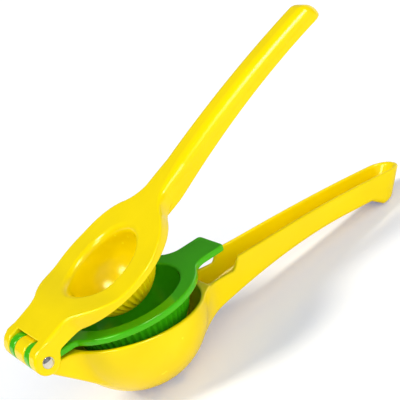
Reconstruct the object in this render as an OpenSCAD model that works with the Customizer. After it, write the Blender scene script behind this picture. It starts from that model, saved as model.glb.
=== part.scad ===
// Hinged lemon squeezer: three enamelled castings on one steel pin.
//
// Every casting is drawn in the closed squeezer's own axes: the pin's middle is the
// origin, X runs from the pin to the handles, Y along the pin, Z up out of the bowl.
// Each one is then swung open about the pin and set down in its stance, in which the
// squeezer stands on its bowl and on the tail of its lower handle. The part's origin
// is the bowl's foot, right under the middle of the bowl.

/* [Opening] */
// Angle of the insert above its seat
insert_open = 6.2; // [0:0.1:90]
// Angle of the press above the lower handle, more than the insert's
press_open = 25.7; // [10:0.1:120]

/* [Hinge] */
// Diameter of the pin
pin_d = 5.6; // [4:0.1:6.4]
// Radial running clearance of the pin in the knuckles
pin_clear = 0.05; // [0.02:0.01:0.1]
// Radial gap of the pin in the ears that grip it
pin_grip = 0.02; // [0.01:0.01:0.05]
// Height of the pin's domed ends
pin_dome_h = 0.9; // [0.4:0.1:1.6]
// Width over the two outer ears
hinge_w = 39.6; // [37:0.2:44]
// Width of each outer ear
ear_w = 7.4; // [6:0.2:8]
// Width of the middle knuckle
centre_w = 11.2; // [9:0.2:12.6]
// Side play between neighbouring knuckles
side_play = 0.4; // [0.2:0.1:0.6]
// Radius of the ears and knuckles
knuckle_r = 6.5; // [5.6:0.1:7.5]
// Gap between a knuckle and the notch it turns in
notch_gap = 0.4; // [0.3:0.1:0.8]
// Radius of the hollow corners between a neck and its bowl, flange or plate
web_r = 5; // [3:0.5:7]
// Width of the flat ring round the pin's domed ends
pin_edge = 0.2; // [0.1:0.05:0.5]

/* [Bowl] */
// Distance from the pin to the middle of the bowl
reach = 52.1; // [50.6:0.1:56]
// Outer radius of the bowl
bowl_r = 37.5; // [36.8:0.1:39]
// Wall of the bowl
bowl_wall = 2.4; // [1.8:0.1:3]
// Depth of the small flat that the bowl stands on
foot_flat = 0.12; // [0.05:0.01:0.3]
// Diameter of the juice holes in the bowl
bowl_hole_d = 5; // [3:0.5:6]
// Radius of the ring of juice holes in the bowl
bowl_ring_r = 16; // [14:0.5:20]
// Number of juice holes in that ring
bowl_holes = 8; // [6:2:12]

/* [Insert] */
// How far the flange's edge stays inside the bowl's edge
flange_set_in = 0.7; // [0.1:0.1:1.5]
// Thickness of the flange, neck and tab
flange_t = 3.2; // [2.6:0.1:4]
// Radius of the hollow that holds half a lime
cup_r = 28.2; // [27:0.1:29]
// Wall of the cup
cup_wall = 3; // [2.4:0.1:3.4]
// Distance from the pin to the end of the tab
tab_end = 105.2; // [98:0.2:108]
// Width of the tab
tab_w = 23.4; // [18:0.2:24]
// Radius of the tab's outer corners
tab_corner_r = 3; // [1:0.5:5]
// Diameter of the juice holes in the cup
cup_hole_d = 4.5; // [3:0.5:5]
// Distance between the rings of juice holes in the cup
cup_ring_step = 7.5; // [6.5:0.5:8]
// Number of rings of juice holes in the cup
cup_rings = 2; // [1:1:2]

/* [Press] */
// How far the press plate stands out past the bowl's edge
plate_lip = 0.5; // [0:0.1:1.2]
// Thickness of the press plate at its middle
plate_t = 3.3; // [3:0.1:3.8]
// Height of the plate's top above the pin's axis, at its middle
plate_top = 1.9; // [1.6:0.1:2.4]
// Radius of the plate's rounded upper edge
plate_edge_r = 1; // [0.5:0.1:2]
// Height of the neck's top above the pin's axis
neck_top = 7.5; // [6.8:0.1:8.5]
// Distance from the pin to the neck's edge above the knuckles
notch_x = 4.6; // [4:0.1:6]
// Distance from the pin to where the neck starts to sink
neck_level_x = 17; // [14:0.5:18]
// Distance from the pin to where the neck has sunk into the plate
neck_run = 46; // [42:0.5:48]
// Outer radius of the dome that presses the fruit
dome_r = 23.6; // [21:0.1:24.5]
// Wall of the dome
dome_wall = 3.4; // [2.4:0.1:4]
// Radius of the rounded edge of the dome's opening
dome_mouth_r = 2; // [1:0.1:2.4]
// Gap that is left between the plates when they lie flat on each other
seat_gap = 0.3; // [0.2:0.05:0.6]

/* [Upper handle] */
// Distance from the pin to the handle's end
upper_end = 219; // [208:0.5:230]
// Width at the root
upper_root_w = 20.4; // [18:0.2:22]
// Radius of the hollow corners where it leaves the plate
upper_fillet = 9; // [6:0.5:12]
// Width at the end
upper_end_w = 18.8; // [16:0.2:20]
// Radius of the end's upright corners
upper_corner_r = 6.5; // [4:0.5:7]
// Radius of the arched crown, seen from the side
crown_r = 740; // [600:10:1200]
// Height of the crown above the pin's axis
crown_z = 11.7; // [10.5:0.1:12.5]
// Distance from the pin to the highest point of the crown
crown_x = 182; // [170:1:200]
// Radius of the long rounded edges
crown_edge_r = 5; // [2:0.5:6]
// How far the crown stands proud of the plate's rise towards it
crown_proud = 0.4; // [0.2:0.1:0.8]
// Height of the grip's sides
upper_grip_h = 9; // [8:0.1:10]
// Radius of the arched underside
upper_under_r = 500; // [400:10:700]
// Depth of the underside at the root, below the pin's axis
upper_root_drop = 4.3; // [3:0.1:5]
// Wall of the hollow underside
upper_wall = 2.6; // [2:0.1:3.2]

/* [Lower handle] */
// Distance from the pin to the handle's end
lower_end = 223.6; // [215:0.2:235]
// Width near the bowl
lower_root_w = 24.4; // [23:0.2:26]
// Width of the grip
lower_grip_w = 19.2; // [18.4:0.2:20.4]
// Radius of the end's upright corners
lower_corner_r = 9; // [5:0.5:9]
// Distance from the pin to where the grip is at its narrowest
lower_slim_x = 190; // [170:1:195]
// Wall of the channel
lower_wall = 2.4; // [1.8:0.1:3]
// Floor of the channel
lower_floor = 2.6; // [2:0.1:3.4]
// Land between the bowl's rim and the channel
lower_land = 1.4; // [1:0.1:4]
// Radius of the hollow corners where it leaves the bowl
lower_fillet = 10; // [8:0.5:14]
// Gap between the tab's end and the step in the walls
tab_gap = 0.6; // [0.4:0.1:1.5]
// Depth of the tab's notch below the bowl's rim
notch_drop = 1; // [0.2:0.1:1.6]
// Length of the step in the walls past the end of the tab
step_len = 6.2; // [4:0.2:9]
// Height of the walls past that step
wall_start_z = -0.1; // [-1:0.1:1]
// Height of the walls' arch
wall_crown_z = 3.2; // [2.6:0.1:4]
// Distance from the pin to the highest point of the walls' arch
wall_crown_x = 195; // [185:1:200]
// Radius of the walls' arch
wall_arch_r = 900; // [700:10:1200]
// Depth of the underside where it leaves the bowl
under_root_z = 23.6; // [20:0.2:25]
// Distance from the pin to where the grip is at its shallowest
under_slim_x = 178; // [165:1:185]
// Depth of the underside at the grip
under_grip_z = 8.5; // [7.5:0.1:9]
// Depth of the tail under the end
tail_z = 12.9; // [11.5:0.1:14]
// Radius of the tail's corner
tail_r = 2; // [1:0.1:3]
// Length of the tail's flat underside
tail_len = 8; // [5:0.5:11]
// Length of the run from the grip down to that flat
tail_run = 7; // [4:0.5:10]
// Angle at which the end wall leans back down to the tail
end_lean = 31; // [20:1:36]

/* [Hidden] */

// smoothness of the round surfaces
$fn = 120;
fine_fn = 720;
curve_steps = 16;
// overlap of solids that run into each other, the same for the round of a corner and the
// flat beside it, overshoot of cuts, reach of endless cuts
bite = 0.5;
ease = 0.05;
past = 1;
far = 400;

// the stack of plates in the closed squeezer, measured from the pin's axis
plate_bottom = plate_top - plate_t;
flange_top = plate_bottom - seat_gap;
flange_bottom = flange_top - flange_t;
rim_z = flange_bottom - seat_gap;

// the flange and the press plate follow the bowl's edge
flange_r = bowl_r - flange_set_in;
plate_r = bowl_r + plate_lip;

// the hinge's pieces along the pin
ear_in = hinge_w / 2 - ear_w;
neck_half = ear_in - side_play;
knuckle_in = centre_w / 2 + side_play;
notch_r = knuckle_r + notch_gap;
bore_r = pin_d / 2 + pin_clear;

// the ears rise from round the pin to the neck's top
ear_lift = neck_top - knuckle_r;

// the tab's notch in the lower handle, the step behind it, the channel behind the rim
notch_z = rim_z - notch_drop;
step_x = tab_end + tab_gap;
wall_x = step_x + step_len;
pocket_x = reach + bowl_r + lower_land;

// slope of the walls past the step, bends of the plan and of the underside, which leaves
// the bowl at a share of its radius, and softness of the joints between two curves
wall_slope = 0.02;
plan_bend = 2;
under_bend = 1.75;
under_share = 0.83;
blend = 0.6;

// middle of the tail's round corner, which touches the leaning end wall, and the place
// where the underside starts to run down to the tail
tail_corner_z = tail_r - tail_z;
lower_end_z = wall_z(lower_end);
tail_corner_x = lower_end - (lower_end_z - tail_corner_z) * tan(end_lean)
    - tail_r / cos(end_lean);
tail_start_x = tail_corner_x - tail_len - tail_run;

// the upper handle's sides start at the plate's edge, above the insert's tab
heel_x = reach + plate_r;

// stance: the pitch at which the bowl and the tail's corner touch the same floor
stand_a = rim_z - tail_corner_z;
stand_b = tail_corner_x - reach;
stance_pitch = atan2(stand_b, stand_a) - acos((bowl_r - tail_r) / norm([stand_a, stand_b]));

// the part's axes stand on the bowl's foot
module stance()
    translate([0, 0, bowl_r - foot_flat])
        rotate([0, stance_pitch, 0])
            translate([-reach, 0, -rim_z])
                children();

module swung(angle)
    rotate([0, -angle, 0])
        children();

// everything between two heights
module slab(z0, z1)
    translate([-far, -far, z0])
        cube([2 * far, 2 * far, z1 - z0]);

// a bar along the pin, centred on it
module along_pin(r, w)
    rotate([90, 0, 0])
        cylinder(r = r, h = w, center = true);

// bars on both sides of the middle, from y0 to y1
module both_sides(r, y0, y1)
    for (side = [-1, 1])
        translate([0, side * (y0 + y1) / 2, 0])
            along_pin(r, y1 - y0);

// an outline in X and Z, given its width along Y
module side_extrude(w)
    rotate([90, 0, 0])
        linear_extrude(height = w, center = true)
            children();

// heights along a casting: an arch about a far centre, and the smooth larger of two
function arch(x, top_x, top_z, r) = top_z - r + sqrt(r * r - (x - top_x) * (x - top_x));
function soft_max(a, b) = (a + b + norm([a - b, blend])) / 2;
// an even rise from 0 to 1 with level ends
function swell(t) = (1 - cos(180 * max(0, min(1, t)))) / 2;
// evenly spaced places from a to b
function places(a, b) = [for (i = [0 : curve_steps]) a + (b - a) * i / curve_steps];
function mirrored(p) = [for (i = [len(p) - 1 : -1 : 0]) [p[i][0], -p[i][1]]];

// hollow corners where a strip of half width w leaves a disc of radius r towards +X
module strip_fillets(r, w, f) {
    away = r + f - ease;
    cy = w + f - ease;
    cx = sqrt(away * away - cy * cy);
    touch = (r - bite) / away;
    for (side = [0, 1])
        mirror([0, side])
            difference() {
                polygon([[cx * touch, cy * touch], [cx, cy], [cx, w - bite],
                    [sqrt(r * r - w * w) - bite, w - bite]]);
                translate([cx, cy])
                    circle(f);
            }
}

// the same hollow corners where a bar of half width w leaves a ball about the bowl's centre
module ball_fillets(r, w, f)
    translate([reach, 0, rim_z])
        rotate([90, 0, 0])
            rotate_extrude()
                strip_fillets(r, w, f);

// a disc over the bowl, with a strip to the hinge
module neck_plan(r, neck_w, f) {
    translate([reach, 0]) {
        circle(r);
        mirror([1, 0])
            strip_fillets(r, neck_w, f);
    }
    translate([0, -neck_w])
        square([reach, 2 * neck_w]);
}

// what rounds off an outer corner at the origin; inset for the inside of a wall
module corner_trim(r, inset)
    translate([ease - r, ease - r])
        difference() {
            square([r + past, r + past]);
            circle(r - inset);
        }

// the same on both corners of a bar that ends at X = 0
module end_trim(half, r, inset)
    for (side = [0, 1])
        mirror([0, side])
            translate([0, half])
                corner_trim(r, inset);

// ---- lower handle: bowl, neck with the middle knuckle, channel handle ----

// how much of the difference between root and grip is left at a place on the way to slim_x
function left_over(x, root_x, slim_x, bend) =
    pow(max(0, (slim_x - x) / (slim_x - root_x)), bend);

function lower_half(x) =
    lower_grip_w / 2 + (lower_root_w - lower_grip_w) / 2
        * left_over(x, pocket_x, lower_slim_x, plan_bend);

function wall_z(x) =
    soft_max(arch(x, wall_crown_x, wall_crown_z, wall_arch_r),
        wall_start_z + wall_slope * (x - wall_x));

function under_z(x) =
    -under_grip_z - (under_root_z - under_grip_z)
        * left_over(x, reach + under_share * bowl_r, under_slim_x, under_bend);

module lower_plan(inset) {
    half = [for (x = places(pocket_x, lower_slim_x)) [x, lower_half(x) - inset]];
    outline = concat([[reach, half[0][1]]], half, [[lower_end + past, half[curve_steps][1]]]);
    polygon(concat(outline, mirrored(outline)));
}

// side view of the handle, with the notch for the tab and the tail
module lower_side() {
    rise = wall_z(wall_x) - notch_z;
    step = [for (x = places(step_x, wall_x))
        [x, notch_z + rise * swell((x - step_x) / step_len)]];
    wall = [for (x = places(wall_x, lower_end)) [x, wall_z(x)]];
    under = [for (x = places(tail_start_x, reach)) [x, under_z(x)]];
    polygon(concat([[reach, rim_z], [reach + bowl_r, rim_z], [pocket_x, notch_z]],
        step, [for (i = [1 : curve_steps]) wall[i]],
        [[tail_corner_x + tail_r * cos(end_lean), tail_corner_z - tail_r * sin(end_lean)],
            [tail_corner_x, -tail_z], [tail_corner_x - tail_len, -tail_z]],
        under));
    translate([tail_corner_x, tail_corner_z])
        circle(tail_r);
}

// the leaning end's rounded corners
module lower_end_trim(inset)
    translate([lower_end, 0, lower_end_z])
        rotate([0, end_lean, 0])
            linear_extrude(height = far / 2, center = true)
                end_trim(lower_grip_w / 2, lower_corner_r, inset);

// the channel between the handle's walls
module lower_pocket() {
    end_in = lower_end - lower_wall / cos(end_lean);
    floor_end = end_in - (lower_end_z + under_grip_z - lower_floor) * tan(end_lean);
    difference() {
        intersection() {
            linear_extrude(height = far, center = true)
                intersection() {
                    lower_plan(lower_wall);
                    translate([pocket_x, -far / 2])
                        square([far, far]);
                }
            side_extrude(far)
                polygon(concat(
                    [for (x = places(reach, tail_start_x)) [x, under_z(x) + lower_floor]],
                    [[floor_end, lower_floor - under_grip_z],
                        [end_in + far * tan(end_lean) / 2, lower_end_z + far / 2],
                        [reach, lower_end_z + far / 2]]));
        }
        lower_end_trim(lower_wall);
    }
}

// side view of the neck, which runs from the knuckle into the bowl's flank
module neck_side() {
    flank_r = sqrt(bowl_r * bowl_r - neck_half * neck_half) - bite;
    span = norm([reach, rim_z]);
    down = atan2(rim_z, reach) - asin((flank_r - knuckle_r) / span) - 90;
    polygon([[0, 0], [knuckle_r * cos(down), knuckle_r * sin(down)],
        [reach + flank_r * cos(down), rim_z + flank_r * sin(down)], [reach, rim_z],
        [0, rim_z]]);
}

module juice_holes(d, r, n)
    for (i = [0 : n - 1])
        rotate([0, 0, (i + 0.5) * 360 / n])
            translate([r, 0, -far])
                cylinder(d = d, h = far);

module lower_casting()
    difference() {
        union() {
            intersection() {
                translate([reach, 0, rim_z])
                    sphere(bowl_r);
                slab(-far, rim_z);
            }
            difference() {
                intersection() {
                    union() {
                        along_pin(reach, 2 * neck_half);
                        ball_fillets(bowl_r, neck_half, web_r);
                    }
                    side_extrude(far)
                        neck_side();
                }
                both_sides(notch_r, centre_w / 2, far);
            }
            along_pin(knuckle_r, centre_w);
            difference() {
                intersection() {
                    union() {
                        linear_extrude(height = far, center = true)
                            lower_plan(0);
                        ball_fillets(bowl_r, lower_root_w / 2, lower_fillet);
                    }
                    side_extrude(far)
                        lower_side();
                }
                lower_end_trim(0);
            }
        }
        intersection() {
            translate([reach, 0, rim_z])
                sphere(bowl_r - bowl_wall);
            slab(-far, rim_z + past);
        }
        translate([reach, 0, 0]) {
            juice_holes(bowl_hole_d, bowl_ring_r, bowl_holes);
            juice_holes(bowl_hole_d, 0, 1);
        }
        lower_pocket();
        along_pin(bore_r, hinge_w);
    }

module lower_handle()
    color([1, 0.86, 0])
        difference() {
            stance() lower_casting();
            slab(-far, 0);
        }

// ---- insert: cup with a flange, two knuckles and a tab ----

module insert_plan() {
    neck_plan(flange_r, neck_half, web_r);
    translate([reach, 0])
        strip_fillets(flange_r, tab_w / 2, web_r);
    difference() {
        translate([reach, -tab_w / 2])
            square([tab_end - reach, tab_w]);
        translate([tab_end, 0])
            end_trim(tab_w / 2, tab_corner_r, 0);
    }
}

module insert_casting()
    difference() {
        union() {
            difference() {
                translate([0, 0, flange_bottom])
                    linear_extrude(height = flange_t)
                        insert_plan();
                along_pin(notch_r, 2 * knuckle_in);
            }
            both_sides(knuckle_r, knuckle_in, neck_half);
            intersection() {
                translate([reach, 0, flange_top])
                    sphere(cup_r + cup_wall);
                slab(-far, flange_top);
            }
        }
        intersection() {
            translate([reach, 0, flange_top])
                sphere(cup_r);
            slab(-far, flange_top + past);
        }
        translate([reach, 0, 0]) {
            juice_holes(cup_hole_d, 0, 1);
            for (ring = [1 : cup_rings])
                juice_holes(cup_hole_d, ring * cup_ring_step, 6 * ring);
        }
        along_pin(bore_r, hinge_w);
    }

module lime_insert()
    color([0.25, 0.68, 0.06])
        stance() swung(insert_open) insert_casting();

// ---- press: plate with a hollow dome, outer ears and arched handle ----

// the arched bar of the handle, a section with round upper edges swept about a far centre;
// it rises out of the plate's top on the way from the bowl's middle
module crown_bar() {
    half = upper_root_w / 2;
    depth = crown_z + plate_r;
    turn = 2 * asin((crown_x - reach) / crown_r);
    translate([crown_x, 0, crown_z - crown_r])
        rotate([90, 0, 0])
            rotate([0, 0, 90 - turn / 2])
                rotate_extrude(angle = turn, $fn = fine_fn)
                    union() {
                        translate([crown_r - depth, -half])
                            square([depth - crown_edge_r, 2 * half]);
                        translate([crown_r - crown_edge_r - bite, crown_edge_r - half])
                            square([crown_edge_r + bite, 2 * (half - crown_edge_r)]);
                        for (side = [-1, 1])
                            translate([crown_r - crown_edge_r, side * (half - crown_edge_r)])
                                circle(crown_edge_r);
                    }
}

module upper_plan(inset) {
    half0 = upper_root_w / 2 - inset;
    half1 = upper_end_w / 2 - inset;
    difference() {
        polygon([[reach, half0], [heel_x, half0], [upper_end - upper_corner_r, half1],
            [upper_end - inset, half1], [upper_end - inset, -half1],
            [upper_end - upper_corner_r, -half1], [heel_x, -half0], [reach, -half0]]);
        translate([upper_end, 0])
            end_trim(upper_end_w / 2, upper_corner_r, inset);
    }
}

function upper_under_z(x) =
    soft_max(arch(x, crown_x, crown_z - upper_grip_h, upper_under_r), -upper_root_drop);

// side view of the handle, with its upper edge rounded at the end
module upper_side() {
    under = [for (x = places(heel_x, upper_end)) [x, upper_under_z(x)]];
    difference() {
        polygon(concat([[reach, upper_under_z(heel_x)]], under,
            [[upper_end, crown_z + past], [reach, crown_z + past]]));
        translate([upper_end, arch(upper_end, crown_x, crown_z, crown_r)])
            corner_trim(crown_edge_r, 0);
    }
}

// the handle's outside, cut back below the plate to the plate's edge
module upper_bar()
    difference() {
        intersection() {
            crown_bar();
            linear_extrude(height = far, center = true)
                upper_plan(0);
            side_extrude(far)
                upper_side();
        }
        translate([reach, 0, plate_bottom + bite - far])
            cylinder(r = plate_r - bite, h = far);
    }

// the hollow underside of the handle, behind the plate
module upper_pocket()
    intersection() {
        translate([0, 0, -upper_wall])
            crown_bar();
        linear_extrude(height = far, center = true)
            intersection() {
                upper_plan(upper_wall);
                translate([heel_x + upper_wall, -far / 2])
                    square([far, far]);
            }
    }

// side view of the neck between the ears and the plate
module press_neck_side() {
    sink = [for (x = places(neck_level_x, neck_run))
        [x, neck_top - (neck_top - plate_top) * swell((x - neck_level_x) / (neck_run - neck_level_x))]];
    polygon(concat([[ear_lift, 0], [ear_lift, neck_top]], sink,
        [[neck_run, plate_bottom], [neck_level_x, plate_bottom + bite], [ear_lift, 0]]));
}

// side view of the plate's rise towards the handle, just below the handle's crown
module press_rise_side() {
    drop = crown_r + plate_top - crown_z + crown_proud;
    rise_x = crown_x - sqrt(crown_r * crown_r - drop * drop);
    polygon(concat(
        [for (x = places(rise_x, heel_x)) [x, arch(x, crown_x, crown_z, crown_r) - crown_proud]],
        [[heel_x, plate_bottom + bite], [rise_x, plate_bottom + bite]]));
}

// the plate with its rounded upper edge
module press_plate()
    rotate_extrude() {
        square([plate_r, plate_t - plate_edge_r]);
        square([plate_r - plate_edge_r, plate_t]);
        translate([plate_r - plate_edge_r, plate_t - plate_edge_r])
            circle(plate_edge_r);
    }

// the hollow of the dome, with a rounded edge where it opens in the plate
module dome_hollow() {
    hollow_r = dome_r - dome_wall;
    sphere(hollow_r);
    cylinder(r = hollow_r, h = far);
    translate([0, 0, plate_t - dome_mouth_r])
        rotate_extrude()
            difference() {
                translate([hollow_r - past, 0])
                    square([dome_mouth_r + past, far]);
                translate([hollow_r + dome_mouth_r, 0])
                    circle(dome_mouth_r);
            }
}

module press_casting()
    difference() {
        union() {
            translate([reach, 0, plate_bottom])
                press_plate();
            translate([reach, 0, plate_bottom])
                linear_extrude(height = plate_t - plate_edge_r)
                    strip_fillets(plate_r, upper_root_w / 2, upper_fillet);
            intersection() {
                side_extrude(hinge_w)
                    press_neck_side();
                linear_extrude(height = far, center = true)
                    neck_plan(plate_r, hinge_w / 2, web_r);
            }
            intersection() {
                side_extrude(far)
                    press_rise_side();
                translate([reach, 0])
                    cylinder(r = plate_r, h = far, center = true);
            }
            both_sides(knuckle_r, ear_in, hinge_w / 2);
            translate([ear_lift, 0, ear_lift])
                both_sides(knuckle_r, ear_in, hinge_w / 2);
            upper_bar();
            intersection() {
                translate([reach, 0, plate_bottom])
                    sphere(dome_r);
                slab(-far, plate_bottom + bite);
            }
        }
        translate([reach, 0, plate_bottom])
            dome_hollow();
        along_pin(notch_r, 2 * ear_in);
        translate([notch_x - far, -ear_in, 0])
            cube([far, 2 * ear_in, far]);
        upper_pocket();
        along_pin(pin_d / 2 + pin_grip, hinge_w + past);
    }

module press_handle()
    color([1, 0.86, 0])
        stance() swung(press_open) press_casting();

// ---- pin: a plain rod with domed ends, gripped by the outer ears ----

module hinge_pin() {
    dome_half = pin_d / 2 - pin_edge;
    dome_curve = (dome_half * dome_half + pin_dome_h * pin_dome_h) / (2 * pin_dome_h);
    color([0.78, 0.78, 0.8])
        stance()
            rotate([90, 0, 0])
                rotate_extrude() {
                    translate([0, -hinge_w / 2])
                        square([pin_d / 2, hinge_w]);
                    for (side = [-1, 1])
                        intersection() {
                            translate([0, side * (hinge_w / 2 + pin_dome_h - dome_curve)])
                                circle(dome_curve);
                            translate([0, side * (hinge_w + far) / 2 - far / 2])
                                square([dome_half, far]);
                        }
                }
}

lower_handle();
lime_insert();
press_handle();
hinge_pin();
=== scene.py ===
"""Looks of the hinged lemon squeezer: refined castings, enamel, light and camera.

Each casting is a solid described by signed distances in the closed squeezer's own
axes, in millimetres: the pin's middle is the origin, X runs to the handles, Y along the
pin, Z up. A surface net turns it into a mesh, which is then swung open, set down in the
part's stance and brought to metres.
"""

import math

import bpy
import numpy as np
from mathutils import Matrix, Vector


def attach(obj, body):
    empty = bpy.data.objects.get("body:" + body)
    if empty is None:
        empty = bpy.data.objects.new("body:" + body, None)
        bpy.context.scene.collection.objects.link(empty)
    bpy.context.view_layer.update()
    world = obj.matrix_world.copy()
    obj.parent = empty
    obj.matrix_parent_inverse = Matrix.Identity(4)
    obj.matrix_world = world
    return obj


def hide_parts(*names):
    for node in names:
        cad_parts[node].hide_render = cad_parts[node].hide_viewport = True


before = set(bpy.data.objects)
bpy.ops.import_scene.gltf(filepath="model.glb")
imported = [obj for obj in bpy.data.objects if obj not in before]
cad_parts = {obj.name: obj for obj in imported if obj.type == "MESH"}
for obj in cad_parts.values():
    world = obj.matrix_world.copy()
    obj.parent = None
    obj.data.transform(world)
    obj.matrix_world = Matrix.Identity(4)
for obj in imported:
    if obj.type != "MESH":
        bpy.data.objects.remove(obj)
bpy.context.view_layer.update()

# ------------------------------------------------------ sizes, in millimetres and degrees

# how far the insert and the press stand open
INSERT_OPEN, PRESS_OPEN = 6.2, 25.7

# pin: radius, height of its domes, their inset, bevel, gaps in the knuckles and the ears
PIN_R, PIN_DOME, PIN_EDGE = 2.8, 0.9, 0.2
PIN_BEVEL_R, PIN_BEVEL_LEN = 0.06, 0.08
PIN_RUN_GAP, PIN_GRIP_GAP = 0.05, 0.02
PIN_RINGS, PIN_AROUND = 12, 72

# hinge: half widths along the pin, knuckles and the notches that make room for them
HINGE_W, EAR_IN, NECK_HALF, KNUCKLE_R = 39.6, 12.4, 12.0, 6.5
CENTRE_HALF, KNUCKLE_IN, NOTCH_R = 5.6, 6.0, 6.9
NOTCH_EDGE, KNUCKLE_EDGE = 0.5, 0.9
REACH = 52.1  # from the pin to the middle of bowl, cup and dome

BOWL_R, BOWL_WALL, FOOT, BOWL_HOLE_R = 37.5, 2.4, 0.12, 2.5
FLANGE_R, FLANGE_T, CUP_R, CUP_WALL, CUP_HOLE_R = 36.8, 3.2, 28.2, 3.0, 2.25
TAB_END, TAB_HALF, TAB_CORNER = 105.2, 11.7, 2.2
HOLE_EDGE, SEAT_GAP = 0.4, 0.3

# press: plate, the neck's fall to it, dome and the mouth of its hollow
PLATE_R, PLATE_TOP, PLATE_BOTTOM = 37.97, 1.8, -1.4
NECK_TOP, NECK_LEVEL_X, NECK_FALL, NECK_SINK, NOTCH_X = 7.5, 17, 29.0, 0.3, 4.6
DOME_R, DOME_WALL, MOUTH_R = 23.6, 3.4, 3.6

# upper handle: end, crown's arch, underside's arch and half width
UPPER_END, UPPER_WALL, UPPER_CORNER = 218.8, 2.6, 6.5
CROWN_R, CROWN_Z, CROWN_X, CROWN_EDGE = 740.0, 11.6, 182.0, 7.0
UNDER_DEPTH, UNDER_R, UNDER_LOWEST = 9.0, 500.0, -4.3
UPPER_HALF_X, UPPER_HALF = [90.1, 212.5], [10.2, 9.4]
UPPER_ROOT_X, UPPER_HOLLOW_X = 97, 92.9

# lower handle: the rim's notch and step, the walls' top, width, underside and tail
FLANGE_TOP = PLATE_BOTTOM - SEAT_GAP
FLANGE_BOTTOM = FLANGE_TOP - FLANGE_T
RIM_Z = FLANGE_BOTTOM - SEAT_GAP
NOTCH_DEPTH, POCKET_RUN = 1.0, 1.4
NOTCH_Z = RIM_Z - NOTCH_DEPTH
STEP_X, WALL_X, POCKET_X = 105.8, 112.0, REACH + BOWL_R + POCKET_RUN
WALL_CREST_X, WALL_CREST_Z, WALL_ARCH_R, WALL_START_Z, WALL_SLOPE = 195.0, 3.2, 900.0, -0.1, 0.02
LOWER_END, LOWER_WALL, LOWER_FLOOR, LOWER_CORNER = 223.6, 2.4, 2.6, 9.0
LOWER_HALF, LOWER_FLARE, FLARE_END = 9.6, 2.6, 190
GRIP_Z, GRIP_DROP, GRIP_X, GRIP_POWER = -8.5, 15.1, 178, 1.75
GRIP_ROOT_X, GRIP_PAST = REACH + 0.83 * BOWL_R, 1.6
TAIL_Z, TAIL_R, TAIL_LEN, TAIL_RUN, END_LEAN = 12.9, 2.0, 8.0, 7.0, 31.0


def ring(count, radius, first):
    """Middles of evenly spaced holes; first is the first one's angle."""
    turns = [math.radians(first + 360 / count * i) for i in range(count)]
    return [(radius * math.cos(a), radius * math.sin(a)) for a in turns]


BOWL_HOLES = [(0.0, 0.0)] + ring(8, 16, 22.5)
CUP_HOLES = [(0.0, 0.0)] + ring(6, 7.5, 30) + ring(12, 15, 15)


def soft_max(a, b, k=0.6):
    """The larger of two heights, with a soft change from one to the other."""
    return (a + b + np.hypot(a - b, k)) / 2


def arch(x, top_x, top_z, r):
    return top_z - r + np.sqrt(r * r - (x - top_x) ** 2)


def swell(t):
    """From 0 to 1 in a half wave."""
    return (1 - np.cos(np.pi * np.clip(t, 0, 1))) / 2


def wall_z(x):
    """Top of the lower handle's walls."""
    slope = WALL_START_Z + WALL_SLOPE * (x - WALL_X)
    return soft_max(arch(x, WALL_CREST_X, WALL_CREST_Z, WALL_ARCH_R), slope)


# the lower handle's leaning end, the tail's foot and the stance on bowl and tail
LEAN_S, LEAN_C = math.sin(math.radians(END_LEAN)), math.cos(math.radians(END_LEAN))
LOWER_END_Z = float(wall_z(np.float64(LOWER_END)))
TAIL_CORNER_Z = TAIL_R - TAIL_Z
TAIL_CORNER_X = LOWER_END - (LOWER_END_Z - TAIL_CORNER_Z) * LEAN_S / LEAN_C - TAIL_R / LEAN_C
STAND_A, STAND_B = RIM_Z - TAIL_CORNER_Z, TAIL_CORNER_X - REACH
PITCH = math.atan2(STAND_B, STAND_A) - math.acos((BOWL_R - TAIL_R) / math.hypot(STAND_A, STAND_B))

# the neck's outer face, from the middle knuckle to the bowl's flank
FLANK_INSET = 0.5
FLANK_R = math.sqrt(BOWL_R**2 - NECK_HALF**2) - FLANK_INSET
FLANK_TURN = (
    math.atan2(RIM_Z, REACH)
    - math.asin((FLANK_R - KNUCKLE_R) / math.hypot(REACH, RIM_Z))
    - math.pi / 2
)
FLANK_S, FLANK_C = math.sin(FLANK_TURN), math.cos(FLANK_TURN)

# ------------------------------------------------------------------- signed distances


def either(a, b, r=0.0):
    """Both solids, with a hollow corner of radius r between them."""
    if np.ndim(r) == 0 and r == 0:
        return np.minimum(a, b)
    return np.maximum(r, np.minimum(a, b)) - np.hypot(np.maximum(r - a, 0), np.maximum(r - b, 0))


def both(a, b, r=0.0):
    """What the solids share, with an outer corner of radius r."""
    return -either(-a, -b, r)


def cut(a, b, r=0.0):
    """The first solid without the second, with an outer corner of radius r."""
    return both(a, -b, r)


def above(x, z, f, lo=-30.0, hi=260.0, step=0.25):
    """Distance above the curve z = f(x)."""
    xs = np.arange(lo, hi, step)
    fs = f(xs)
    slope = np.gradient(fs, xs)
    return (z - np.interp(x, xs, fs)) / np.sqrt(1 + np.interp(x, xs, slope) ** 2)


def bars(y, y0, y1):
    """Slabs on both sides of the middle, from y0 to y1."""
    return np.abs(np.abs(y) - (y0 + y1) / 2) - (y1 - y0) / 2


def flutes(x, y, z, centre_z, count, depth, fade, fade_run=0.35, fullness=0.8):
    """Upright ribs round a ball: how far its surface sinks between two of them. They fade
    in at the angle fade from the ball's lowest point, in radians."""
    a = np.arctan2(y, x - REACH)
    rho = np.hypot(x - REACH, y)
    polar = np.arctan2(rho, -(z - centre_z))
    strength = np.clip((polar - fade) / fade_run, 0, 1)
    return depth * strength * (0.5 - 0.5 * np.cos(count * a)) ** fullness


def drain(x, y, body, holes, r):
    for hx, hy in holes:
        body = cut(body, np.hypot(x - REACH - hx, y - hy) - r, HOLE_EDGE)
    return body


# ---------------------------------------------------------------------- lower casting

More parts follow.
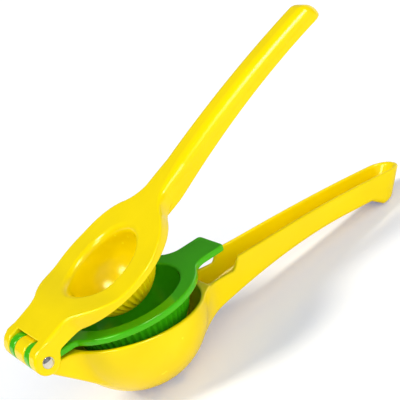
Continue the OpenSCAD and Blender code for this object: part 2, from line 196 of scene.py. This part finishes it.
WEB_R, WEB_LEN, UNDER_EDGE, ROOT_R = 10.0, 40, 2.2, 3.0
NECK_R, NECK_EDGE, NECK_END_Z, NECK_END_R = 5.0, 2.0, 2.0, 8.0
RIM_EDGE, INNER_EDGE, CHANNEL_FLOOR_R, CHANNEL_END_R = 1.0, 0.9, 1.8, 1.6
FOOT_RAISE = 0.02


def lower_half(x):
    """Half the lower handle's width."""
    flare = np.clip((FLARE_END - x) / (FLARE_END - POCKET_X), 0, None)
    return LOWER_HALF + LOWER_FLARE * flare**2


def grip_under(x):
    """Underside of the lower handle, without its tail."""
    toward_root = np.clip((GRIP_X - x) / (GRIP_X - GRIP_ROOT_X), 0, GRIP_PAST)
    return GRIP_Z - GRIP_DROP * toward_root**GRIP_POWER


def under_z(x):
    start = TAIL_CORNER_X - TAIL_LEN - TAIL_RUN
    return grip_under(x) - (TAIL_Z + GRIP_Z) * np.clip((x - start) / TAIL_RUN, 0, 1)


def lower_top(x):
    """Top of bowl and handle: rim, notch for the insert's tab, step and walls."""
    rise = wall_z(np.float64(WALL_X)) - NOTCH_Z
    step = NOTCH_Z + rise * swell((x - STEP_X) / (WALL_X - STEP_X))
    rim = REACH + BOWL_R
    near = RIM_Z + (NOTCH_Z - RIM_Z) * swell((x - rim) / (POCKET_X - rim))
    return np.where(x > WALL_X, wall_z(np.maximum(x, WALL_X)), np.where(x > STEP_X, step, near))


def lower_casting(x, y, z):
    ay = np.abs(y)
    ball = np.sqrt((x - REACH) ** 2 + y * y + (z - RIM_Z) ** 2)
    side = ay - lower_half(x)
    end = (x - LOWER_END) * LEAN_C - (z - LOWER_END_Z) * LEAN_S
    bar = both(side, REACH - x)
    under = -above(x, z, under_z)
    web = both(both(either(ball - BOWL_R, bar, WEB_R), under, UNDER_EDGE), x - POCKET_X - WEB_LEN)
    bar = both(both(bar, end, LOWER_CORNER), under, UNDER_EDGE)
    body = either(either(ball - BOWL_R, bar, ROOT_R), web)
    # the neck runs down from the middle knuckle into the bowl's flank
    neck = either(ball - BOWL_R, both(ay - NECK_HALF, x - REACH), NECK_R)
    neck = both(neck, x * FLANK_C + z * FLANK_S - KNUCKLE_R, NECK_EDGE)
    neck = both(neck, (z - RIM_Z) * FLANK_C - (x - REACH) * FLANK_S - NECK_END_Z, NECK_END_R)
    neck = both(neck, -x)
    body = either(body, neck)
    body = both(body, above(x, z, lower_top), RIM_EDGE)
    axle = np.hypot(x, z)
    body = cut(body, both(axle - NOTCH_R, CENTRE_HALF - ay), NOTCH_EDGE)
    body = either(body, both(axle - KNUCKLE_R, ay - CENTRE_HALF, KNUCKLE_EDGE), NOTCH_EDGE)
    # inside of the bowl, and the channel between the handle's walls
    body = cut(body, ball - (BOWL_R - BOWL_WALL), INNER_EDGE)
    channel = both(side + LOWER_WALL, end + LOWER_WALL, LOWER_CORNER - LOWER_WALL)
    channel_floor = above(x, z, lambda u: grip_under(u) + LOWER_FLOOR)
    channel = both(channel, -channel_floor, CHANNEL_FLOOR_R)
    channel = both(channel, POCKET_X - x, CHANNEL_END_R)
    body = cut(body, channel, INNER_EDGE)
    body = drain(x, y, body, BOWL_HOLES, BOWL_HOLE_R)
    body = cut(body, axle - PIN_R - PIN_RUN_GAP)
    floor = -math.sin(PITCH) * (x - REACH) + math.cos(PITCH) * (z - RIM_Z) + BOWL_R - FOOT
    return both(body, FOOT_RAISE - floor)


# ---------------------------------------------------------------------- insert casting

ARM_R, TAB_R, FLANGE_TOP_EDGE, FLANGE_UNDER_EDGE = 1.5, 5.0, 0.8, 0.7
FILLET_Z, FILLET_R = [-4.0, -2.0], [1.6, 0.5]  # small on top, where the press comes down
ARM_X, CUP_SINK, CUP_BLEND, CUP_EDGE = 9, 1.2, 1.2, 1.1
CUP_FLUTES, CUP_FLUTE_DEPTH, CUP_FLUTE_FADE = 56, 0.75, 0.5


def insert_casting(x, y, z):
    ay = np.abs(y)
    rho = np.hypot(x - REACH, y)
    plan = either(rho - FLANGE_R, both(both(ay - NECK_HALF, x - REACH), -x), ARM_R)
    tab = both(both(ay - TAB_HALF, x - TAB_END, TAB_CORNER), REACH - x)
    plan = either(plan, tab, TAB_R)
    body = both(plan, z - FLANGE_TOP, FLANGE_TOP_EDGE)
    body = both(body, FLANGE_BOTTOM - z, FLANGE_UNDER_EDGE)
    axle = np.hypot(x, z)
    body = cut(body, both(axle - NOTCH_R, ay - KNUCKLE_IN), NOTCH_EDGE)
    knuckles = both(axle - KNUCKLE_R, bars(y, KNUCKLE_IN, NECK_HALF), KNUCKLE_EDGE)
    body = either(body, knuckles, np.interp(z, FILLET_Z, FILLET_R))
    body = both(body, ay - NECK_HALF - np.maximum(0, x - ARM_X))
    ball = np.sqrt(rho**2 + (z - FLANGE_TOP) ** 2)
    ribs = flutes(x, y, z, FLANGE_TOP, CUP_FLUTES, CUP_FLUTE_DEPTH, CUP_FLUTE_FADE)
    cup = both(ball - (CUP_R + CUP_WALL) + ribs, z - FLANGE_BOTTOM - CUP_SINK)
    body = either(body, cup, CUP_BLEND)
    body = cut(body, ball - CUP_R, CUP_EDGE)
    body = drain(x, y, body, CUP_HOLES, CUP_HOLE_R)
    return cut(body, axle - PIN_R - PIN_RUN_GAP)


# ----------------------------------------------------------------------- press casting

EDGE_X, EDGE_R = [14, 30, 84, 112], [2.2, 1.0, 1.0, CROWN_EDGE]
RAMP_X, RAMP_Z = [1, 13, 17], [0.0, PLATE_BOTTOM + 0.5, PLATE_BOTTOM]
EAR_WEB_R, ROOT_WEB_R, ROOT_INSET, PLATE_UNDER_EDGE = 2.5, 9.0, 0.3, 0.7
EAR_EDGE, EAR_BLEND, EAR_X, SLOT_X = 1.6, 2.0, 12, 1.0
BAR_UNDER_EDGE, DISC_INSET, BAR_SINK = 0.8, 0.3, 0.9
HOLLOW_TOP_R, HOLLOW_END_R = 2.4, 2.0
DOME_SINK, DOME_BLEND = 1.0, 1.4
DOME_FLUTES, DOME_FLUTE_DEPTH, DOME_FLUTE_FADE = 40, 1.0, 0.45


def press_top(x):
    """Height of the press along its middle: neck, plate and arched handle in one sweep."""
    fall = swell((x - NECK_LEVEL_X) / NECK_FALL)
    neck = NECK_TOP - (NECK_TOP - PLATE_TOP + NECK_SINK) * fall
    plate = soft_max(neck, np.full_like(x, PLATE_TOP))
    return soft_max(plate, arch(x, CROWN_X, CROWN_Z, CROWN_R))


def press_bottom(x):
    return np.interp(x, RAMP_X, RAMP_Z)


def upper_under(x):
    """Arched underside of the upper handle."""
    lowest = np.full_like(x, UNDER_LOWEST)
    return soft_max(arch(x, CROWN_X, CROWN_Z - UNDER_DEPTH, UNDER_R), lowest)


def press_casting(x, y, z):
    ay = np.abs(y)
    rho = np.hypot(x - REACH, y)
    disc = rho - PLATE_R
    half = np.interp(x, UPPER_HALF_X, UPPER_HALF)
    top = above(x, z, press_top)
    edge_r = np.interp(x, EDGE_X, EDGE_R)
    # plate with the webs that lead to the ears and into the handle
    to_ears = both(both(ay - HINGE_W / 2, x - REACH), SLOT_X - x)
    to_handle = both(both(ay - half + ROOT_INSET, x - UPPER_ROOT_X), REACH - x)
    plan = either(either(disc, to_ears, EAR_WEB_R), to_handle, ROOT_WEB_R)
    body = both(both(plan, top, edge_r), -above(x, z, press_bottom), PLATE_UNDER_EDGE)
    # the ears' outline is a circle swept a little forward and up
    t = np.clip((x + z) / 2, 0, 1)
    ear = both(np.hypot(x - t, z - t) - KNUCKLE_R, ay - HINGE_W / 2, EAR_EDGE)
    body = either(body, ear, EAR_BLEND)
    body = both(both(body, top), ay - HINGE_W / 2 - np.maximum(0, x - EAR_X))
    # handle: arched crown with round long edges, sides down to the arched underside
    plan_bar = both(ay - half, x - UPPER_END, UPPER_CORNER)
    bar = both(both(plan_bar, top, edge_r), -above(x, z, upper_under), BAR_UNDER_EDGE)
    bar = both(cut(bar, both(disc + DISC_INSET, z - PLATE_BOTTOM - BAR_SINK)), REACH - x)
    body = either(body, bar)
    hollow = both(plan_bar + UPPER_WALL, top + UPPER_WALL, HOLLOW_TOP_R)
    hollow = both(hollow, UPPER_HOLLOW_X - x, HOLLOW_END_R)
    body = cut(body, hollow, BAR_UNDER_EDGE)
    # dome under the plate and its hollow
    ball = np.sqrt(rho**2 + (z - PLATE_BOTTOM) ** 2)
    ribs = flutes(x, y, z, PLATE_BOTTOM, DOME_FLUTES, DOME_FLUTE_DEPTH, DOME_FLUTE_FADE)
    dome = both(ball - DOME_R + ribs, z - PLATE_BOTTOM - DOME_SINK)
    body = either(body, dome, DOME_BLEND)
    deep = z - PLATE_TOP + MOUTH_R
    bore = np.where(deep > 0, rho, np.hypot(rho, deep)) - DOME_R + DOME_WALL
    body = both(body, both(top, -bore, MOUTH_R))
    # room for the knuckles between the ears
    axle = np.hypot(x, z)
    slot = np.minimum(axle - NOTCH_R, np.maximum(x - NOTCH_X, -z))
    slot = np.minimum(slot, x - SLOT_X)
    body = cut(body, both(slot, ay - EAR_IN), NOTCH_EDGE)
    return cut(body, axle - PIN_R - PIN_GRIP_GAP)


# ----------------------------------------------------------------------- surface nets

FINE, COARSE = 0.5, 0.9
BLOCK, BATCH, FAR = 8, 4000, 9  # cells in a block, blocks at a time, value far away
SPREADS, SETTLES, NUDGE = 3, 2, 0.05


def sample(solid, lo, hi, h):
    """Distances on a grid; only blocks near the surface are worked out in full."""
    span = BLOCK * h
    n = np.ceil((np.array(hi) - lo) / span).astype(int)
    axes = [lo[i] + (np.arange(n[i]) + 0.5) * span for i in range(3)]
    cx, cy, cz = np.meshgrid(*axes, indexing="ij")
    mid = solid(cx.ravel(), cy.ravel(), cz.ravel()).reshape(n)
    field = np.sign(mid)
    for axis in range(3):
        field = np.repeat(field, BLOCK, axis)
    field = field.astype(np.float32) * FAR
    near = np.argwhere(np.abs(mid) < span * 1.25 + 1.0)
    step = np.stack(np.meshgrid(*[np.arange(BLOCK)] * 3, indexing="ij"), -1).reshape(-1, 3)
    for i in range(0, len(near), BATCH):
        at = (near[i : i + BATCH, None, :] * BLOCK + step[None]).reshape(-1, 3)
        p = lo + (at + 0.5) * h
        field[at[:, 0], at[:, 1], at[:, 2]] = solid(p[:, 0], p[:, 1], p[:, 2])
    return field


def surface_net(solid, lo, hi, h):
    """(points, quads) of the solid's surface."""
    f = sample(solid, np.array(lo, float), np.array(hi, float), h)
    inside = f < 0
    corners = [(i, j, k) for i in (0, 1) for j in (0, 1) for k in (0, 1)]
    shape = tuple(s - 1 for s in f.shape)

    def shifted(a, c):
        return a[c[0] : c[0] + shape[0], c[1] : c[1] + shape[1], c[2] : c[2] + shape[2]]

    # one point in each cell that the surface passes, amid its crossings with the edges
    count = sum(shifted(inside, c).astype(np.int8) for c in corners)
    cell = np.argwhere((count > 0) & (count < len(corners)))
    value = [f[cell[:, 0] + c[0], cell[:, 1] + c[1], cell[:, 2] + c[2]] for c in corners]
    total, hits = np.zeros((len(cell), 3)), np.zeros(len(cell))
    for a, ca in enumerate(corners):
        for b, cb in enumerate(corners):
            if b <= a or sum(abs(p - q) for p, q in zip(ca, cb)) != 1:
                continue
            va, vb = value[a], value[b]
            hit = (va < 0) != (vb < 0)
            t = np.where(hit, va / np.where(hit, va - vb, 1), 0)
            point = np.array(ca) + t[:, None] * (np.array(cb) - np.array(ca))
            total += point * hit[:, None]
            hits += hit
    points = np.array(lo) + (cell + total / hits[:, None] + 0.5) * h
    index = np.full(shape, -1, np.int64)
    index[cell[:, 0], cell[:, 1], cell[:, 2]] = np.arange(len(cell))
    # one quad round each edge that the surface crosses
    quads = []
    for axis in range(3):
        u, v = (axis + 1) % 3, (axis + 2) % 3
        first = [slice(None)] * 3
        second = [slice(None)] * 3
        first[axis], second[axis] = slice(0, -1), slice(1, None)
        crossing = inside[tuple(first)] != inside[tuple(second)]
        at = np.argwhere(crossing)
        at = at[(at[:, u] > 0) & (at[:, v] > 0) & (at[:, u] < shape[u]) & (at[:, v] < shape[v])]
        starts_inside = inside[at[:, 0], at[:, 1], at[:, 2]]
        corner_points = []
        for du, dv in ((1, 1), (0, 1), (0, 0), (1, 0)):
            q = at.copy()
            q[:, u] -= du
            q[:, v] -= dv
            corner_points.append(index[q[:, 0], q[:, 1], q[:, 2]])
        quad = np.stack(corner_points, 1)
        quads.append(np.where(starts_inside[:, None], quad, quad[:, ::-1]))
    quads = np.concatenate(quads)
    assert quads.min() >= 0
    return settle(solid, relaxed(points, quads), h), quads


def relaxed(points, quads):
    """Spreads the points evenly: each one moves half way to its neighbours' middle."""
    for _ in range(SPREADS):
        total, hits = np.zeros_like(points), np.zeros(len(points))
        for i in range(4):
            a, b = quads[:, i], quads[:, (i + 1) % 4]
            for here, there in ((a, b), (b, a)):
                hits += np.bincount(here, minlength=len(points))
                for axis in range(3):
                    total[:, axis] += np.bincount(here, points[there, axis], len(points))
        points = (points + total / hits[:, None]) / 2
    return points


def settle(solid, points, h):
    """Moves the points onto the surface itself, by at most half a cell each time."""
    for _ in range(SETTLES):
        d = solid(*points.T)
        nudged = [solid(*(points + NUDGE * np.eye(3)[i]).T) - d for i in range(3)]
        g = np.stack(nudged, 1) / NUDGE
        size = np.maximum((g * g).sum(1), 0.25)
        move = g * (d / size)[:, None]
        length = np.linalg.norm(move, axis=1)
        move *= np.minimum(1, 0.5 * h / np.maximum(length, 1e-9))[:, None]
        points = points - move
    return points


def placed(points, opened):
    """From the closed squeezer's axes, in millimetres, to the part's, in metres."""
    a = math.radians(opened)
    swing = Matrix(((math.cos(a), 0, -math.sin(a)), (0, 1, 0), (math.sin(a), 0, math.cos(a))))
    pitch = Matrix(
        ((math.cos(PITCH), 0, math.sin(PITCH)), (0, 1, 0), (-math.sin(PITCH), 0, math.cos(PITCH)))
    )
    p = points @ np.array(swing).T + np.array([-REACH, 0, -RIM_Z])
    return (p @ np.array(pitch).T + np.array([0, 0, BOWL_R - FOOT])) / 1000


def mesh_object(name, points, quads, material):
    mesh = bpy.data.meshes.new(name)
    mesh.vertices.add(len(points))
    mesh.vertices.foreach_set("co", np.asarray(points, np.float32).ravel())
    mesh.loops.add(quads.size)
    mesh.loops.foreach_set("vertex_index", quads.ravel().astype(np.int32))
    mesh.polygons.add(len(quads))
    mesh.polygons.foreach_set("loop_start", np.arange(0, quads.size, 4, dtype=np.int32))
    mesh.polygons.foreach_set("use_smooth", np.ones(len(quads), bool))
    mesh.update(calc_edges=True)
    mesh.validate()
    mesh.materials.append(material)
    obj = bpy.data.objects.new(name, mesh)
    bpy.context.scene.collection.objects.link(obj)
    return obj


def casting(name, solid, lo, hi, opened, body, node, material):
    points, quads = surface_net(solid, lo, hi, FINE)
    obj = mesh_object(name, placed(points, opened), quads, material)
    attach(obj, body)
    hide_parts(node)


# -------------------------------------------------------------------------- materials


def linear(rgb):
    """A written colour as the shader takes it."""
    return tuple(((c + 0.055) / 1.055) ** 2.4 if c > 0.04045 else c / 12.92 for c in rgb) + (1.0,)


def grey(level):
    return (level, level, level, 1.0)


def new_material(name):
    """(material, node tree, its main shader)."""
    material = bpy.data.materials.new(name)
    material.use_nodes = True
    tree = material.node_tree
    return material, tree, tree.nodes["Principled BSDF"]


def noise(tree, scale, detail):
    """Noise that stays with the piece."""
    coords = tree.nodes.new("ShaderNodeTexCoord")
    node = tree.nodes.new("ShaderNodeTexNoise")
    node.inputs["Scale"].default_value = scale
    node.inputs["Detail"].default_value = detail
    tree.links.new(coords.outputs["Object"], node.inputs["Vector"])
    return node.outputs["Fac"]


def ramp(tree, factor, *stops):
    """Colours along a factor, from (position, colour) stops in rising order."""
    node = tree.nodes.new("ShaderNodeValToRGB")
    elements = node.color_ramp.elements
    for element, (position, colour) in zip(elements, (stops[0], stops[-1])):
        element.position, element.color = position, colour
    for position, colour in stops[1:-1]:
        elements.new(position).color = colour
    tree.links.new(factor, node.inputs["Fac"])
    return node.outputs["Color"]


def spread(tree, factor, low, high):
    """A factor from 0 to 1 brought to low to high."""
    node = tree.nodes.new("ShaderNodeMapRange")
    node.inputs["To Min"].default_value = low
    node.inputs["To Max"].default_value = high
    tree.links.new(factor, node.inputs["Value"])
    return node.outputs["Result"]


ENAMEL_SHADER = {
    "IOR": 1.52,
    "Specular IOR Level": 0.35,
    "Specular Tint": (1.0, 0.96, 0.6, 1.0),
    "Coat Weight": 0.05,
    "Coat Roughness": 0.06,
}
# pointiness at which the painted shade in hollows is darkest, the enamel has its own colour
# (from, to), and the painted highlight along edges is palest
HOLLOW, PLAIN_FROM, PLAIN_TO, EDGE = 0.42, 0.49, 0.53, 0.60
CLOUD_SCALE, CLOUD_SHADE, CLOUD_FROM, CLOUD_TO = 26.0, 0.93, 0.35, 0.65
GLOSS_SCALE, GLOSS_BELOW, GLOSS_ABOVE = 90.0, 0.05, 0.07
PEEL_SCALE, PEEL_STRENGTH, PEEL_HEIGHT = 420.0, 0.05, 0.0004


def enamel(name, colour, deep, painted_highlight, rough):
    """Glossy baked enamel: darker in hollows (painted shade), paler along edges (painted
    highlight), and very slightly wavy."""
    material, tree, bsdf = new_material(name)
    for socket, value in ENAMEL_SHADER.items():
        bsdf.inputs[socket].default_value = value
    pointiness = tree.nodes.new("ShaderNodeNewGeometry").outputs["Pointiness"]
    body = linear(colour)
    # painted shade: the deep colour in hollows; painted highlight: the pale colour along edges
    painted_shade_and_highlight = ramp(
        tree, pointiness,
        (HOLLOW, linear(deep)), (PLAIN_FROM, body), (PLAIN_TO, body), (EDGE, linear(painted_highlight)),
    )
    cloud = noise(tree, CLOUD_SCALE, 3.0)
    shade = ramp(tree, cloud, (CLOUD_FROM, grey(CLOUD_SHADE)), (CLOUD_TO, grey(1.0)))
    tint = tree.nodes.new("ShaderNodeMix")
    tint.data_type = "RGBA"
    tint.blend_type = "MULTIPLY"
    factor, first, second = (tint.inputs[i] for i in (0, 6, 7))
    factor.default_value = 1.0
    tree.links.new(painted_shade_and_highlight, first)
    tree.links.new(shade, second)
    tree.links.new(tint.outputs[2], bsdf.inputs["Base Color"])
    gloss = noise(tree, GLOSS_SCALE, 4.0)
    gloss = spread(tree, gloss, rough - GLOSS_BELOW, rough + GLOSS_ABOVE)
    tree.links.new(gloss, bsdf.inputs["Roughness"])
    bump = tree.nodes.new("ShaderNodeBump")
    bump.inputs["Strength"].default_value = PEEL_STRENGTH
    bump.inputs["Distance"].default_value = PEEL_HEIGHT
    tree.links.new(noise(tree, PEEL_SCALE, 2.0), bump.inputs["Height"])
    tree.links.new(bump.outputs["Normal"], bsdf.inputs["Normal"])
    return material


def polished_steel(name, dark, bright, rough_from, rough_to):
    material, tree, bsdf = new_material(name)
    bsdf.inputs["Metallic"].default_value = 1.0
    grain = noise(tree, 900.0, 4.0)
    tone = ramp(tree, grain, (0.0, linear(dark)), (1.0, linear(bright)))
    tree.links.new(tone, bsdf.inputs["Base Color"])
    tree.links.new(spread(tree, grain, rough_from, rough_to), bsdf.inputs["Roughness"])
    return material


# second and third colours: painted shade in hollows and painted highlight along edges
YELLOW = enamel("yellow_enamel", (0.97, 0.865, 0.0), (0.95, 0.78, 0.0), (1.0, 0.93, 0.14), 0.15)
GREEN = enamel("green_enamel", (0.25, 0.73, 0.05), (0.12, 0.50, 0.02), (0.40, 0.82, 0.16), 0.13)
STEEL = polished_steel("polished_pin", (0.80, 0.80, 0.81), (0.92, 0.92, 0.93), 0.08, 0.2)

# ----------------------------------------------------------------------------- pieces

casting(
    "Lower_Casting", lower_casting, (-8, -39, -44.5), (225, 39, 8), 0,
    "lower", "lower_handle", YELLOW,
)
casting(
    "Insert_Casting", insert_casting, (-8, -38.5, -35), (107, 38.5, 8), INSERT_OPEN,
    "insert", "lime_insert", GREEN,
)
casting(
    "Press_Casting", press_casting, (-8, -39.5, -27), (221, 39.5, 14), PRESS_OPEN,
    "press", "press_handle", YELLOW,
)


def pin():
    """A turned rod with domed ends."""
    rim = PIN_R - PIN_EDGE
    end = HINGE_W / 2
    curve = (rim * rim + PIN_DOME**2) / (2 * PIN_DOME)
    profile = []
    for i in range(PIN_RINGS + 1):
        a = math.asin(rim / curve) * i / PIN_RINGS
        profile.append((curve * math.sin(a), end + PIN_DOME - curve + curve * math.cos(a)))
    profile += [(PIN_R - PIN_BEVEL_R, end), (PIN_R, end - PIN_BEVEL_LEN)]
    profile += [(r, -y) for r, y in reversed(profile)]
    points, quads = [], []
    for r, y in profile:
        for k in range(PIN_AROUND):
            a = 2 * math.pi * k / PIN_AROUND
            points.append((r * math.cos(a), y, r * math.sin(a)))
    for i in range(len(profile) - 1):
        here, there = i * PIN_AROUND, (i + 1) * PIN_AROUND
        for k in range(PIN_AROUND):
            n = (k + 1) % PIN_AROUND
            quads.append((here + k, here + n, there + n, there + k))
    obj = mesh_object("Hinge_Pin", placed(np.array(points), PRESS_OPEN), np.array(quads), STEEL)
    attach(obj, "press")
    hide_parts("hinge_pin")


pin()

# ------------------------------------------------------------------------------- stage

FLOOR_HALF = 6.0
# the glow is added for the camera's rays alone, and with the tone gives a white floor
FLOOR_GLOW, FLOOR_TONE = (0.02, 0.10, 0.30, 1.0), (0.96, 0.90, 0.74, 1.0)

white, tree, surface = new_material("stage_white")
surface.inputs["Base Color"].default_value = FLOOR_TONE
surface.inputs["Roughness"].default_value = 0.9
surface.inputs["Specular IOR Level"].default_value = 0.0
path = tree.nodes.new("ShaderNodeLightPath")
seen = tree.nodes.new("ShaderNodeMath")
seen.operation = "MAXIMUM"
seen.use_clamp = True
tree.links.new(path.outputs["Is Camera Ray"], seen.inputs[0])
tree.links.new(path.outputs["Is Transmission Ray"], seen.inputs[1])
surface.inputs["Emission Color"].default_value = FLOOR_GLOW
tree.links.new(seen.outputs[0], surface.inputs["Emission Strength"])

floor_mesh = bpy.data.meshes.new("Floor")
far = FLOOR_HALF
floor_mesh.from_pydata(
    [(-far, -far, 0), (far, -far, 0), (far, far, 0), (-far, far, 0)], [], [(0, 1, 2, 3)]
)
floor_mesh.materials.append(white)
floor = bpy.data.objects.new("Floor", floor_mesh)
bpy.context.scene.collection.objects.link(floor)

# ------------------------------------------------------------------------------- light

# a pale room, brightest where the soft front light stands; what gloss mirrors is darker
# and has narrow bright panes. Each lobe is (direction, sharpness).
FRONT, OVERHEAD = ((0.08, -0.97, 0.22), 3.0), ((0.20, -0.40, 0.90), 80.0)
SIDE, WINDOW = ((0.92, 0.32, 0.05), 10.0), ((-0.66, -0.30, 0.69), 90.0)
ROOM, FRONT_GAIN = 0.25, 2.3
MIRRORED_ROOM, MIRRORED_FRONT, MIRRORED_OVERHEAD = 0.07, 0.25, 22.0
MIRRORED_SIDE, MIRRORED_WINDOW = 2.2, 22.0
SUN_WAY, SUN_STRENGTH, SUN_ANGLE = (0.56, -0.24, -0.80), 2.05, 15

world = bpy.data.worlds.new("Studio")
bpy.context.scene.world = world
world.use_nodes = True
sky = world.node_tree
way = sky.nodes.new("ShaderNodeTexCoord").outputs["Generated"]


def worked(operation, *values):
    """The output of a math node; values are numbers or other nodes' outputs."""
    node = sky.nodes.new("ShaderNodeMath")
    node.operation = operation
    for socket, value in zip(node.inputs, values):
        if isinstance(value, (int, float)):
            socket.default_value = value
        else:
            sky.links.new(value, socket)
    return node.outputs[0]


def lobe(direction, sharpness):
    """1 toward the direction, fading to 0 at right angles to it."""
    toward = sky.nodes.new("ShaderNodeVectorMath")
    toward.operation = "DOT_PRODUCT"
    toward.inputs[1].default_value = direction
    sky.links.new(way, toward.inputs[0])
    return worked("POWER", worked("MAXIMUM", toward.outputs["Value"], 0.0), sharpness)


front = lobe(*FRONT)
lit = worked("MULTIPLY_ADD", front, FRONT_GAIN, ROOM)
mirrored = worked("MULTIPLY_ADD", front, MIRRORED_FRONT, MIRRORED_ROOM)
mirrored = worked("MULTIPLY_ADD", lobe(*OVERHEAD), MIRRORED_OVERHEAD, mirrored)
mirrored = worked("MULTIPLY_ADD", lobe(*SIDE), MIRRORED_SIDE, mirrored)
mirrored = worked("MULTIPLY_ADD", lobe(*WINDOW), MIRRORED_WINDOW, mirrored)
path = sky.nodes.new("ShaderNodeLightPath")
glossy = path.outputs["Is Glossy Ray"]
seen = worked("MAXIMUM", path.outputs["Is Camera Ray"], path.outputs["Is Transmission Ray"])
level = worked("MULTIPLY_ADD", glossy, worked("SUBTRACT", mirrored, lit), lit)
level = worked("MULTIPLY_ADD", seen, worked("SUBTRACT", 1.0, level), level)
back = sky.nodes["Background"]
back.inputs["Color"].default_value = (1, 1, 1, 1)
sky.links.new(level, back.inputs["Strength"])

sun = bpy.data.lights.new("High", "SUN")
sun.energy, sun.angle = SUN_STRENGTH, math.radians(SUN_ANGLE)
high = bpy.data.objects.new("High", sun)
high.rotation_euler = Vector(SUN_WAY).to_track_quat("-Z", "Y").to_euler()
bpy.context.scene.collection.objects.link(high)

# ------------------------------------------------------------------------------ camera

# fitted to the photo's edges: the camera's own axes and its place, in metres
RIGHT = (0.75352966, -0.50463219, -0.42135425)
UP = (0.55591827, 0.14698846, 0.81813769)
BEHIND = (-0.3509244, -0.85072954, 0.39129441)
PLACE = (-0.1398753, -0.481954, 0.2849778)
SENSOR, LENS, NEAR_CLIP, FAR_CLIP = 36.0, 104.007, 0.05, 20.0

camera = bpy.data.objects.new("Camera", bpy.data.cameras.new("Camera"))
camera.data.sensor_width = SENSOR
camera.data.lens = LENS
camera.data.clip_start, camera.data.clip_end = NEAR_CLIP, FAR_CLIP
camera.matrix_world = Matrix(list(zip(RIGHT, UP, BEHIND, PLACE)) + [(0, 0, 0, 1)])
bpy.context.scene.collection.objects.link(camera)
bpy.context.scene.camera = camera
bpy.context.scene.view_settings.view_transform = "Standard"
